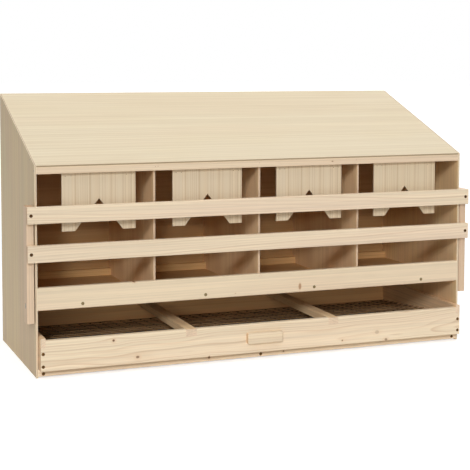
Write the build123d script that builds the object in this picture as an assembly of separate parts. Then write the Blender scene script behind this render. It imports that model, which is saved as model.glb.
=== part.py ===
from build123d import *
import math
import os

# A wooden nesting box for hens: four nests side by side under a pitched roof, a flap hung in each
# nest front, a slatted perch frame that folds down on two pivots, and a drawer with a sloping wire floor.
# Millimetres. +X runs along the box to the right, +Y from front to back, +Z up.
# The origin lies on the ground at the middle of the whole object.
# Depths in the helpers below are counted from the front edges of the side panels, backwards.

# Carcass
BOX_W = 1022.0
BOX_D = 380.0
FRONT_H = 450.0
BACK_H = 590.0
PLY = 4.0
BATTEN = 16.0
BOARD_T = 12.0
BOARD_EASE = 1.0
LINTEL_H = 14.0
NEST_COUNT = 4
END_NEST_EXTRA = 14.0

# Nest floor and its front board
FLOOR_Z = 141.0
FRONT_BOARD_H = 47.5
FRONT_BOARD_LIFT = 3.0
FRONT_SCREW_X = 132.0
FRONT_SCREW_INSET = 97.0

# Base rails and drawer runners
BASE_RAIL_TOP = 17.5
BASE_RAIL_LIFT = 3.0
REAR_RAIL_H = 28.0
RUNNER_W = 22.0

# Flaps and their butt hinges
FLAP_W = 162.0
FLAP_H = 124.0
FLAP_GAP = 0.4
NOTCH_W = 105.0
NOTCH_H = 68.5
HINGE_W = 25.0
HINGE_INSET = 14.0
LEAF_T = 1.2
LEAF_H = 9.0
KNUCKLE_R = 2.0
HINGE_PIN_R = 1.0
HINGE_SCREW_PITCH = 12.5
HINGE_SCREW_DROP = 6.5
HINGE_SCREW_R = 1.2
HINGE_SCREW_HEAD_R = 2.2
TIP_PROUD = 0.8

# Perch frame
RAIL_H = 36.0
RAIL_EASE = 1.5
RAIL_UPPER_Z = 328.5
RAIL_LOWER_Z = 247.0
ARM_W = 16.0
ARM_D = 30.0
ARM_EASE = 1.5
ARM_STUB = 36.0
ARM_GAP = 2.5
PIVOT_SET = 4.5
PIVOT_R = 3.0
PIVOT_HEAD_R = 6.0
PIVOT_HEAD_T = 4.0
PIVOT_BITE = 35.0
WASHER_R = 9.0
STOP_R = 3.0
STOP_BEHIND = 26.0
STOP_LENGTH = 14.0
STOP_FLANGE_R = 5.5
STOP_HEAD_T = 3.0
STOP_NUT_T = 2.0

# Drawer
DRAWER_PROUD = 19.0
DRAWER_H = 65.0
DRAWER_SIDE_T = 10.5
DRAWER_SIDE_RAISE = 5.0
DRAWER_SIDE_GAP = 1.5
BAR_W = 24.5
BAR_H = 15.5
BAR_X = 172.0
DRAWER_SCREW_Z = (10.0, 37.0)
HANDLE_W = 85.0
HANDLE_H = 25.0
HANDLE_T = 10.0
HANDLE_RAISE = 1.75
HANDLE_CORNER = 4.0
HANDLE_EASE = 2.0
MESH_TOP_DROP = 1.5
MESH_FALL = 33.0
MESH_WIRE = 2.0
MESH_ACROSS = 29
MESH_DEEP = 10
MESH_REST = 10.0

# Fasteners
SCREW_R = 1.8
SCREW_HEAD_R = 3.6
SCREW_HEAD_H = 2.2
SCREW_TIP = 4.0
SCREW_LENGTH = 34.0
RECESS_W = 1.0
RECESS_DEPTH = 1.4
NAIL_R = 0.9
NAIL_HEAD_R = 2.0
NAIL_HEAD_H = 0.8
NAIL_LENGTH = 14.0
CLEAT_NAIL_INSET = 31.0

# Clearances
SLIDE_GAP = 0.4
TURN_GAP = 0.06
FACE_GAP = 0.3

# Sizes that follow from the ones above
FRONT_Y = -(BOX_D - DRAWER_PROUD - HANDLE_T) / 2
INSIDE = BOX_W / 2 - PLY
OUTSIDE = BOX_W / 2
BACK_Y = BOX_D - PLY
REAR_Y = BACK_Y - BATTEN
FLOOR_TOP = FLOOR_Z + PLY
FRONT_BOARD_Z = FLOOR_Z + FRONT_BOARD_LIFT
PITCH = math.atan2(BACK_H - FRONT_H, BOX_D)
SLOPE = math.tan(PITCH)
UPRIGHT = 1 / math.cos(PITCH)
LINTEL_Z = FRONT_H - PLY * UPRIGHT - LINTEL_H
FLAP_TOP = LINTEL_Z - FLAP_GAP
FLAP_BACK = BATTEN
FLAP_FRONT = BATTEN - PLY
NEST_PITCH = 2 * (INSIDE - END_NEST_EXTRA) / NEST_COUNT
FLAP_X = [(i - (NEST_COUNT - 1) / 2) * NEST_PITCH for i in range(NEST_COUNT)]
DIVIDER_X = [(i - NEST_COUNT / 2) * NEST_PITCH for i in range(1, NEST_COUNT)]
HINGE_OFFSETS = [side * (FLAP_W / 2 - HINGE_INSET) for side in (-1, 1)]
HINGE_Y = FLAP_BACK + KNUCKLE_R + FACE_GAP
HINGE_Z = LINTEL_Z - FLAP_GAP / 2
LEAF_CLEAR = KNUCKLE_R + 2 * FACE_GAP
ARM_IN = OUTSIDE + ARM_GAP
ARM_OUT = ARM_IN + ARM_W
ARM_TOP = RAIL_UPPER_Z + RAIL_H
PIVOT_Y = BOARD_T + PIVOT_SET
PIVOT_Z = FLOOR_TOP + BATTEN / 2
ARM_Z = PIVOT_Z - ARM_STUB
STOP_Y = PIVOT_Y + STOP_BEHIND
STOP_Z = PIVOT_Z + (ARM_D - PIVOT_Y) + STOP_R + FACE_GAP / 3
DRAWER_Z = BASE_RAIL_TOP + SLIDE_GAP
DRAWER_TOP = DRAWER_Z + DRAWER_H
SIDE_TOP = DRAWER_TOP + DRAWER_SIDE_RAISE
DRAWER_FACE = -DRAWER_PROUD
DRAWER_IN = DRAWER_FACE + BOARD_T
DRAWER_END = REAR_Y - SLIDE_GAP
DRAWER_BACK_IN = DRAWER_END - BOARD_T
DRAWER_HALF = INSIDE - DRAWER_SIDE_GAP
DRAWER_INSIDE = DRAWER_HALF - DRAWER_SIDE_T
BAR_Z = DRAWER_TOP - BAR_H
MESH_FALL_ANGLE = math.atan2(MESH_FALL, DRAWER_BACK_IN - DRAWER_IN)


def board(x0, x1, y0, y1, z0, z1):
    """A square-edged board between two opposite corners."""
    place = Pos((x0 + x1) / 2, FRONT_Y + (y0 + y1) / 2, (z0 + z1) / 2)
    return place * Box(x1 - x0, y1 - y0, z1 - z0)


def side_cut(points, x0, x1):
    """A board whose outline is drawn in the side view (depth, height) and runs from x0 to x1."""
    outline = Polyline(*[(FRONT_Y + y, z) for y, z in points], close=True)
    return extrude(Plane.YZ.offset(x0) * make_face(outline), amount=x1 - x0)


def rod_x(x0, x1, y, z, radius):
    """A round bar along X."""
    return extrude(Plane.YZ.offset(x0) * Pos(FRONT_Y + y, z) * Circle(radius), amount=x1 - x0)


def turned(profile, x, y, z, direction):
    """A turned piece: (radius, length) points revolved about an axis that starts at a point."""
    solid = revolve(Plane.XZ * make_face(Polyline(*profile, close=True)), Axis.Z)
    return Plane(origin=(x, FRONT_Y + y, z), z_dir=direction) * solid


def screw(x, y, z, direction, length=SCREW_LENGTH):
    """A countersunk wood screw with its head flush at a point, pointing into the wood."""
    profile = [
        (0, 0),
        (SCREW_HEAD_R, 0),
        (SCREW_R, SCREW_HEAD_H),
        (SCREW_R, length - SCREW_TIP),
        (0, length),
    ]
    return turned(profile, x, y, z, direction)


def cross_slot(x, y, z, direction):
    """The cross recess in a screw head."""
    arm = Pos(0, 0, RECESS_DEPTH / 2) * Box(SCREW_HEAD_R, RECESS_W, RECESS_DEPTH)
    other = Rot(0, 0, 90) * arm
    return Plane(origin=(x, FRONT_Y + y, z), z_dir=direction) * (arm + other)


def nail(x, y, z, direction):
    """A flat-headed nail driven flush at a point."""
    profile = [
        (0, 0),
        (NAIL_HEAD_R, 0),
        (NAIL_HEAD_R, NAIL_HEAD_H),
        (NAIL_R, NAIL_HEAD_H),
        (NAIL_R, NAIL_LENGTH - NAIL_R),
        (0, NAIL_LENGTH),
    ]
    return turned(profile, x, y, z, direction)


def roof_under(y):
    """Height of the roof panel's underside at a depth."""
    return FRONT_H - PLY * UPRIGHT + y * SLOPE


def mesh_under(y):
    """Height of the wire mesh's underside at a depth in the drawer."""
    top = BAR_Z - MESH_TOP_DROP - (y - DRAWER_IN) * math.tan(MESH_FALL_ANGLE)
    return top - MESH_WIRE / math.cos(MESH_FALL_ANGLE)


def eased(solid, radius=BOARD_EASE):
    """A board along X with its front arrises rounded over."""
    return fillet(solid.edges().filter_by(Axis.X).group_by(Axis.Y)[0], radius)


def drilled(solid, fasteners):
    """A piece with the holes for the fasteners that pass through it."""
    for fastener in fasteners:
        solid = solid - fastener
    return solid


parts = {}
LEFT, RIGHT = -1, 1
SIDES = {"left": LEFT, "right": RIGHT}
INTO_BACK = (0, 1, 0)

# Screws through the front board, the base rail, the drawer front and the perch rails
front_screw_x = (FRONT_SCREW_X, INSIDE - FRONT_SCREW_INSET)
front_board_at = [(side * x, 0, PIVOT_Z) for side in (LEFT, RIGHT) for x in front_screw_x]
runner_mid = INSIDE - RUNNER_W / 2
base_rail_at = [(x, 0, BASE_RAIL_TOP / 2) for x in (-runner_mid, 0, runner_mid)]
drawer_screw_x = DRAWER_HALF - DRAWER_SIDE_T / 2
drawer_at = [
    (side * drawer_screw_x, DRAWER_FACE, DRAWER_Z + z) for side in (LEFT, RIGHT) for z in DRAWER_SCREW_Z
]
arm_mid = (ARM_IN + ARM_OUT) / 2
perch_at = [
    (side * arm_mid, -BOARD_T, z + RAIL_H / 2) for side in (LEFT, RIGHT) for z in (RAIL_LOWER_Z, RAIL_UPPER_Z)
]
short_screw = BOARD_T + BATTEN - SCREW_TIP
front_board_screws = [screw(*at, INTO_BACK, short_screw) for at in front_board_at]
base_rail_screws = [screw(*at, INTO_BACK) for at in base_rail_at]
drawer_screws = [screw(*at, INTO_BACK) for at in drawer_at]
perch_screws = [screw(*at, INTO_BACK) for at in perch_at]

# Nails through the side panels
nail_at = [(BATTEN / 2, LINTEL_Z + LINTEL_H / 2)]
cleat_nail_y = (BATTEN + CLEAT_NAIL_INSET, (BATTEN + REAR_Y) / 2, REAR_Y - CLEAT_NAIL_INSET)
nail_at += [(y, roof_under(y) - BATTEN / 4) for y in cleat_nail_y]
nail_at += [((REAR_Y + BACK_Y) / 2, PIVOT_Z)]
nail_at += [(BOARD_T / 2, FRONT_BOARD_Z + FRONT_BOARD_H / 2)]
nail_at += [(BATTEN / 2, BASE_RAIL_TOP * 3 / 4)]
nail_at += [((REAR_Y + BACK_Y) / 2, REAR_RAIL_H / 2)]
panel_nails = {
    name: [nail(side * OUTSIDE, y, z, (-side, 0, 0)) for y, z in nail_at] for name, side in SIDES.items()
}
all_panel_nails = panel_nails["left"] + panel_nails["right"]

# Perch pivots: a screw through each arm, a spacing washer and the side panel, into the floor batten
pivot_screws = {}
pivot_washers = []
stop_pegs = {}
stop_nuts = []
for name, side in SIDES.items():
    head_at = ARM_OUT - FACE_GAP
    profile = [
        (0, 0),
        (PIVOT_HEAD_R, 0),
        (PIVOT_HEAD_R, PIVOT_HEAD_T),
        (PIVOT_R, PIVOT_HEAD_T),
        (PIVOT_R, head_at - INSIDE + PIVOT_BITE - PIVOT_R),
        (0, head_at - INSIDE + PIVOT_BITE),
    ]
    pivot_screws[name] = turned(profile, side * head_at, PIVOT_Y, PIVOT_Z, (-side, 0, 0))
    washer = rod_x(OUTSIDE, ARM_IN - FACE_GAP / 3, PIVOT_Y, PIVOT_Z, WASHER_R)
    washer = washer - rod_x(OUTSIDE, ARM_IN, PIVOT_Y, PIVOT_Z, PIVOT_R)
    pivot_washers.append(washer if side == RIGHT else mirror(washer, Plane.YZ))
    # A short bolt behind each arm stops the frame level; its head is inside the panel
    peg = rod_x(INSIDE, OUTSIDE + STOP_LENGTH, STOP_Y, STOP_Z, STOP_R)
    peg = peg + rod_x(INSIDE - STOP_HEAD_T, INSIDE, STOP_Y, STOP_Z, STOP_FLANGE_R)
    nut = rod_x(OUTSIDE, OUTSIDE + STOP_NUT_T, STOP_Y, STOP_Z, STOP_FLANGE_R)
    nut = nut - rod_x(OUTSIDE, OUTSIDE + STOP_NUT_T, STOP_Y, STOP_Z, STOP_R)
    stop_pegs[name] = peg if side == RIGHT else mirror(peg, Plane.YZ)
    stop_nuts.append(nut if side == RIGHT else mirror(nut, Plane.YZ))

# Hinge screws: from behind into the lintel, and through each flap so that the tips just show in front
hinge_x = [x + offset for x in FLAP_X for offset in HINGE_OFFSETS]
INTO_FRONT = (0, -1, 0)


def hinge_screws(x, z, length):
    """The two small screws of one hinge leaf."""
    profile = [
        (0, 0),
        (HINGE_SCREW_HEAD_R, 0),
        (HINGE_SCREW_R, LEAF_T),
        (HINGE_SCREW_R, length - HINGE_SCREW_R),
        (0, length),
    ]
    spots = [x - HINGE_SCREW_PITCH / 2, x + HINGE_SCREW_PITCH / 2]
    return [turned(profile, spot, FLAP_BACK + LEAF_T, z, INTO_FRONT) for spot in spots]


fixed_screw_length = LEAF_T + BATTEN / 2
flap_screw_length = LEAF_T + PLY + TIP_PROUD
fixed_screws = [s for x in hinge_x for s in hinge_screws(x, HINGE_Z + HINGE_SCREW_DROP, fixed_screw_length)]
flap_screws = [
    [s for o in HINGE_OFFSETS for s in hinge_screws(x + o, HINGE_Z - HINGE_SCREW_DROP, flap_screw_length)]
    for x in FLAP_X
]

# Side panels, roof and back
panel_outline = [(0, 0), (BOX_D, 0), (BOX_D, BACK_H), (0, FRONT_H)]
for name, side in SIDES.items():
    inner, outer = sorted((side * INSIDE, side * OUTSIDE))
    panel = side_cut(panel_outline, inner, outer)
    through = panel_nails[name] + [pivot_screws[name], stop_pegs[name]]
    parts[f"side_panel_{name}"] = drilled(panel, through)
# The roof's front edge is cut square to its slope, so a fine groove is left over the lintel
roof_lip = PLY * math.sin(PITCH)
roof_outline = [(0, FRONT_H), (BOX_D, BACK_H), (BOX_D, roof_under(BOX_D)), (roof_lip, roof_under(roof_lip))]
parts["roof_panel"] = side_cut(roof_outline, -INSIDE, INSIDE)
back_outline = [(BACK_Y, 0), (BOX_D, 0), (BOX_D, roof_under(BOX_D)), (BACK_Y, roof_under(BACK_Y))]
parts["back_panel"] = side_cut(back_outline, -INSIDE, INSIDE)

# Battens that carry the roof: their tops are planed to the roof's pitch
lintel_outline = [(0, LINTEL_Z), (BATTEN, LINTEL_Z), (BATTEN, roof_under(BATTEN)), (0, roof_under(0))]
lintel = eased(side_cut(lintel_outline, -INSIDE, INSIDE))
parts["lintel"] = drilled(lintel, all_panel_nails + fixed_screws)
rear_top = roof_under(REAR_Y) - BATTEN
rear_outline = [
    (REAR_Y, rear_top),
    (BACK_Y, rear_top),
    (BACK_Y, roof_under(BACK_Y)),
    (REAR_Y, roof_under(REAR_Y)),
]
parts["rear_top_batten"] = side_cut(rear_outline, -INSIDE, INSIDE)
cleat_outline = [
    (BATTEN, roof_under(BATTEN)),
    (REAR_Y, roof_under(REAR_Y)),
    (REAR_Y, roof_under(REAR_Y) - BATTEN * UPRIGHT),
    (BATTEN, roof_under(BATTEN) - BATTEN * UPRIGHT),
]
for name, side in SIDES.items():
    inner, outer = sorted((side * INSIDE, side * (INSIDE - BATTEN)))
    parts[f"roof_cleat_{name}"] = drilled(side_cut(cleat_outline, inner, outer), panel_nails[name])

# Nest floor between its battens, with the front board
parts["nest_floor"] = board(-INSIDE, INSIDE, BOARD_T, BACK_Y, FLOOR_Z, FLOOR_TOP)
front_board = board(-INSIDE, INSIDE, 0, BOARD_T, FRONT_BOARD_Z, FRONT_BOARD_Z + FRONT_BOARD_H)
parts["nest_front_board"] = drilled(eased(front_board), front_board_screws + all_panel_nails)
front_batten = board(-INSIDE, INSIDE, BOARD_T, BOARD_T + BATTEN, FLOOR_TOP, FLOOR_TOP + BATTEN)
parts["floor_batten_front"] = drilled(front_batten, front_board_screws + list(pivot_screws.values()))
rear_batten = board(-INSIDE, INSIDE, REAR_Y, BACK_Y, FLOOR_TOP, FLOOR_TOP + BATTEN)
parts["floor_batten_rear"] = drilled(rear_batten, all_panel_nails)

# Dividers, notched round the four battens that cross them
divider_outline = [
    (BOARD_T + BATTEN, FLOOR_TOP),
    (REAR_Y, FLOOR_TOP),
    (REAR_Y, FLOOR_TOP + BATTEN),
    (BACK_Y, FLOOR_TOP + BATTEN),
    (BACK_Y, rear_top),
    (REAR_Y, rear_top),
    (REAR_Y, roof_under(REAR_Y)),
    (BATTEN, roof_under(BATTEN)),
    (BATTEN, LINTEL_Z),
    (BOARD_T, LINTEL_Z),
    (BOARD_T, FLOOR_TOP + BATTEN),
    (BOARD_T + BATTEN, FLOOR_TOP + BATTEN),
]
for name, x in zip(("left", "middle", "right"), DIVIDER_X):
    parts[f"divider_{name}"] = side_cut(divider_outline, x - PLY / 2, x + PLY / 2)

# Base rails and the three runners under the drawer; the rear rail stands higher and stops the drawer
base_rail = board(-INSIDE, INSIDE, 0, BATTEN, BASE_RAIL_LIFT, BASE_RAIL_TOP)
parts["base_rail_front"] = drilled(eased(base_rail), base_rail_screws + all_panel_nails)
rear_rail = board(-INSIDE, INSIDE, REAR_Y, BACK_Y, 0, REAR_RAIL_H)
parts["base_rail_rear"] = drilled(rear_rail, all_panel_nails)
for name, x in zip(("left", "middle", "right"), (-runner_mid, 0, runner_mid)):
    runner = board(x - RUNNER_W / 2, x + RUNNER_W / 2, BATTEN, REAR_Y, 0, BASE_RAIL_TOP)
    parts[f"runner_{name}"] = drilled(runner, base_rail_screws)


def fixed_leaf(x):
    """The hinge half on the lintel: a plate, its two outer knuckles and the pin."""
    half = HINGE_W / 2
    third = HINGE_W / 4 + FACE_GAP / 2
    plate_z = HINGE_Z + LEAF_CLEAR
    leaf = board(x - half, x + half, FLAP_BACK, FLAP_BACK + LEAF_T, plate_z, plate_z + LEAF_H)
    for x0, x1 in ((x - half, x - third), (x + third, x + half)):
        leaf = leaf + board(x0, x1, FLAP_BACK, FLAP_BACK + LEAF_T, HINGE_Z, plate_z)
        leaf = leaf + rod_x(x0, x1, HINGE_Y, HINGE_Z, KNUCKLE_R)
    return leaf + rod_x(x - half, x + half, HINGE_Y, HINGE_Z, HINGE_PIN_R)


def flap_leaf(x):
    """The hinge half on the flap: a plate with the middle knuckle, bored for the pin."""
    half = HINGE_W / 2
    third = HINGE_W / 4 - FACE_GAP / 2
    plate_z = HINGE_Z - LEAF_CLEAR
    leaf = board(x - half, x + half, FLAP_BACK, FLAP_BACK + LEAF_T, plate_z - LEAF_H, plate_z)
    leaf = leaf + board(x - third, x + third, FLAP_BACK, FLAP_BACK + LEAF_T, plate_z, HINGE_Z)
    leaf = leaf + rod_x(x - third, x + third, HINGE_Y, HINGE_Z, KNUCKLE_R)
    return leaf - rod_x(x - half, x + half, HINGE_Y, HINGE_Z, HINGE_PIN_R + TURN_GAP)


def flap_panel(x):
    """A flap: a plain board with a pointed notch for the hen's neck cut up from its lower edge."""
    bottom = FLAP_TOP - FLAP_H
    outline = Polyline(
        (x - FLAP_W / 2, FLAP_TOP),
        (x - FLAP_W / 2, bottom),
        (x - NOTCH_W / 2, bottom),
        (x, bottom + NOTCH_H),
        (x + NOTCH_W / 2, bottom),
        (x + FLAP_W / 2, bottom),
        (x + FLAP_W / 2, FLAP_TOP),
        close=True,
    )
    return extrude(Plane.XZ.offset(-FRONT_Y - FLAP_FRONT) * make_face(outline), amount=-PLY)


# Hinges and flaps
parts["hinge_leaves_fixed"] = [drilled(fixed_leaf(x), fixed_screws) for x in hinge_x]
parts["hinge_screws_fixed"] = fixed_screws
for i, x in enumerate(FLAP_X):
    screws = flap_screws[i]
    parts[f"flap_{i + 1}_panel"] = drilled(flap_panel(x), screws)
    parts[f"flap_{i + 1}_leaves"] = [drilled(flap_leaf(x + offset), screws) for offset in HINGE_OFFSETS]
    parts[f"flap_{i + 1}_screws"] = screws

# Perch frame: two arms outside the side panels and two rails across their front faces
for name, side in SIDES.items():
    inner, outer = sorted((side * ARM_IN, side * ARM_OUT))
    arm = board(inner, outer, 0, ARM_D, ARM_Z, ARM_TOP)
    arm = fillet(arm.edges().filter_by(Axis.Z), ARM_EASE)
    bore = rod_x(inner, outer, PIVOT_Y, PIVOT_Z, PIVOT_R + TURN_GAP)
    sink_depth = PIVOT_HEAD_T + 2 * FACE_GAP
    sink = rod_x(ARM_OUT - sink_depth, ARM_OUT, PIVOT_Y, PIVOT_Z, PIVOT_HEAD_R + FACE_GAP)
    sink = sink if side == RIGHT else mirror(sink, Plane.YZ)
    parts[f"perch_arm_{name}"] = drilled(arm - bore - sink, perch_screws)
for name, z in (("upper", RAIL_UPPER_Z), ("lower", RAIL_LOWER_Z)):
    rail = board(-ARM_OUT, ARM_OUT, -BOARD_T, 0, z, z + RAIL_H)
    parts[f"perch_rail_{name}"] = drilled(eased(rail, RAIL_EASE), perch_screws)
parts["perch_pivot_screws"] = list(pivot_screws.values())
parts["perch_pivot_washers"] = pivot_washers
parts["perch_stop_bolts"] = list(stop_pegs.values()) + stop_nuts

# Drawer: the two bars and the tongues of the taller sides are let into the top edge of the front board
bar_slots = [
    board(x - BAR_W / 2, x + BAR_W / 2, DRAWER_FACE, DRAWER_END, BAR_Z, DRAWER_TOP) for x in (-BAR_X, BAR_X)
]
side_outline = [
    (DRAWER_FACE, BAR_Z),
    (DRAWER_IN, BAR_Z),
    (DRAWER_IN, DRAWER_Z),
    (DRAWER_END, DRAWER_Z),
    (DRAWER_END, SIDE_TOP),
    (DRAWER_FACE, SIDE_TOP),
]
tongues = []
for name, side in SIDES.items():
    inner, outer = sorted((side * DRAWER_INSIDE, side * DRAWER_HALF))
    parts[f"drawer_side_{name}"] = drilled(side_cut(side_outline, inner, outer), drawer_screws)
    tongues.append(board(inner, outer, DRAWER_FACE, DRAWER_IN, BAR_Z, DRAWER_TOP))
drawer_front = board(-DRAWER_HALF, DRAWER_HALF, DRAWER_FACE, DRAWER_IN, DRAWER_Z, DRAWER_TOP)
parts["drawer_front"] = drilled(eased(drawer_front), bar_slots + tongues + drawer_screws)
drawer_back = board(-DRAWER_INSIDE, DRAWER_INSIDE, DRAWER_BACK_IN, DRAWER_END, DRAWER_Z, DRAWER_TOP)
parts["drawer_back"] = drilled(drawer_back, bar_slots)
parts["drawer_bar_left"], parts["drawer_bar_right"] = bar_slots
handle_z = (DRAWER_Z + DRAWER_TOP) / 2 + HANDLE_RAISE
handle = board(
    -HANDLE_W / 2,
    HANDLE_W / 2,
    DRAWER_FACE - HANDLE_T,
    DRAWER_FACE,
    handle_z - HANDLE_H / 2,
    handle_z + HANDLE_H / 2,
)
handle = fillet(handle.edges().filter_by(Axis.Y), HANDLE_CORNER)
parts["drawer_handle"] = fillet(handle.faces().sort_by(Axis.Y)[0].edges(), HANDLE_EASE)


def mesh_rest(x0, x1, y0, y1):
    """A strip under the edge of the wire mesh, planed to its slope."""
    outline = [
        (y0, mesh_under(y0)),
        (y1, mesh_under(y1)),
        (y1, mesh_under(y1) - MESH_REST),
        (y0, mesh_under(y0) - MESH_REST),
    ]
    return side_cut(outline, x0, x1)


# Sloping wire floor of the drawer on its four strips
rest_in = DRAWER_INSIDE - MESH_REST
parts["mesh_rest_left"] = mesh_rest(-DRAWER_INSIDE, -rest_in, DRAWER_IN, DRAWER_BACK_IN)
parts["mesh_rest_right"] = mesh_rest(rest_in, DRAWER_INSIDE, DRAWER_IN, DRAWER_BACK_IN)
parts["mesh_rest_front"] = mesh_rest(-rest_in, rest_in, DRAWER_IN, DRAWER_IN + MESH_REST)
parts["mesh_rest_rear"] = mesh_rest(-rest_in, rest_in, DRAWER_BACK_IN - MESH_REST, DRAWER_BACK_IN)
mesh_w = 2 * (DRAWER_INSIDE - FACE_GAP)
mesh_run = (DRAWER_BACK_IN - DRAWER_IN) / math.cos(MESH_FALL_ANGLE) - 2 * MESH_WIRE
step_x = (mesh_w - MESH_WIRE) / MESH_ACROSS
step_y = (mesh_run - MESH_WIRE) / MESH_DEEP
gap_face = Rectangle(step_x - MESH_WIRE, step_y - MESH_WIRE)
mesh_face = Rectangle(mesh_w, mesh_run) - GridLocations(step_x, step_y, MESH_ACROSS, MESH_DEEP) * gap_face
mesh_mid = (DRAWER_IN + DRAWER_BACK_IN) / 2
mesh_plane = Plane(
    origin=(0, FRONT_Y + mesh_mid, mesh_under(mesh_mid)),
    x_dir=(1, 0, 0),
    z_dir=(0, math.sin(MESH_FALL_ANGLE), math.cos(MESH_FALL_ANGLE)),
)
parts["drawer_wire_mesh"] = extrude(mesh_plane * mesh_face, amount=MESH_WIRE)


def slotted(screws, spots):
    """Screws with a cross recess in each head."""
    return [solid - cross_slot(*at, INTO_BACK) for solid, at in zip(screws, spots)]


# Fastener groups
parts["front_board_screws"] = slotted(front_board_screws, front_board_at)
parts["base_rail_screws"] = slotted(base_rail_screws, base_rail_at)
parts["drawer_screws"] = slotted(drawer_screws, drawer_at)
parts["perch_screws"] = slotted(perch_screws, perch_at)
parts["panel_nails"] = all_panel_nails

os.makedirs("parts", exist_ok=True)
for name, shape in parts.items():
    if isinstance(shape, list):
        shape = Compound(children=[solid.solid() for solid in shape])
    export_step(shape, f"parts/{name}.step")
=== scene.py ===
"""Looks of a wooden nesting box for hens.

Solid pine, plywood, plated steel and a welded wire floor, with the studio and the camera.
"""

import logging
import math
from dataclasses import dataclass, field
from enum import Enum
from typing import ClassVar

import bpy
import numpy as np
from mathutils import Matrix, Vector

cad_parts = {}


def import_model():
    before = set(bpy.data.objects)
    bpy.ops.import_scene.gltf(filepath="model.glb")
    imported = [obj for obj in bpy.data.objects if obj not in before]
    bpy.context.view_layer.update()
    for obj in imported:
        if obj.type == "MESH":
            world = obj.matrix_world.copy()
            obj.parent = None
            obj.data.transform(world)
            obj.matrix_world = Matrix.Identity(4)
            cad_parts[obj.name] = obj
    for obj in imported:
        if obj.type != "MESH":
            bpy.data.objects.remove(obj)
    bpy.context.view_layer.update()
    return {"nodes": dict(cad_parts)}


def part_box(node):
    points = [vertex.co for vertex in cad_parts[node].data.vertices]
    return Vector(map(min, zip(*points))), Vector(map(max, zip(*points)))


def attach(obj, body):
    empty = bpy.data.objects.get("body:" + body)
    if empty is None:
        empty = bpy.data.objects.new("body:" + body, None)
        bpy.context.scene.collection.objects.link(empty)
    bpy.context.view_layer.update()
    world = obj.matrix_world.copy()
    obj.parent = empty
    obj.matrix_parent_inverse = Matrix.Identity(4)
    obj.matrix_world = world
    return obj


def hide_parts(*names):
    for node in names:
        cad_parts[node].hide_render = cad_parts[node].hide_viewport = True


LOG = logging.getLogger("nesting_box")
PHOTO_PIXELS = 470.0
SENSOR_MM = 36.0
FLAPS = range(1, 5)

Colour = tuple[float, float, float]
Point = tuple[float, float, float]
Span = tuple[float, float]
Step = tuple[float, float, float, float]
Socket = bpy.types.NodeSocket
Value = Socket | float | tuple[float, ...]
Nodes = dict[str, bpy.types.Object]
Look = dict[str, object]

WHITE: Colour = (1.0, 1.0, 1.0)
X_WAY: Point = (1.0, 0.0, 0.0)
Y_WAY: Point = (0.0, 1.0, 0.0)
Z_WAY: Point = (0.0, 0.0, 1.0)
AIM: Point = (0.0, 0.0, 0.3)


class Grain(Enum):
    """The axis that the fibres of a piece of wood run along.

    The value is the order of the axes, from that one on.
    """

    ALONG_X = (0, 1, 2)
    ALONG_Y = (1, 2, 0)
    ALONG_Z = (2, 0, 1)

    def local(self, point: Point) -> Point:
        """A point as (along the fibres, across, across)."""
        return tuple(point[axis] for axis in self.value)

    def axis(self) -> Point:
        """The unit vector along the fibres."""
        return tuple(float(axis == self.value[0]) for axis in range(3))


class Side(Enum):
    """Which faces of a sheet turn into the box and take the painted shade.

    FRONT is the face that its normal leaves by, and BACK is the other one.
    """

    FRONT = 1.0
    BACK = -1.0
    BOTH = 0.0
    NONE = None


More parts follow.
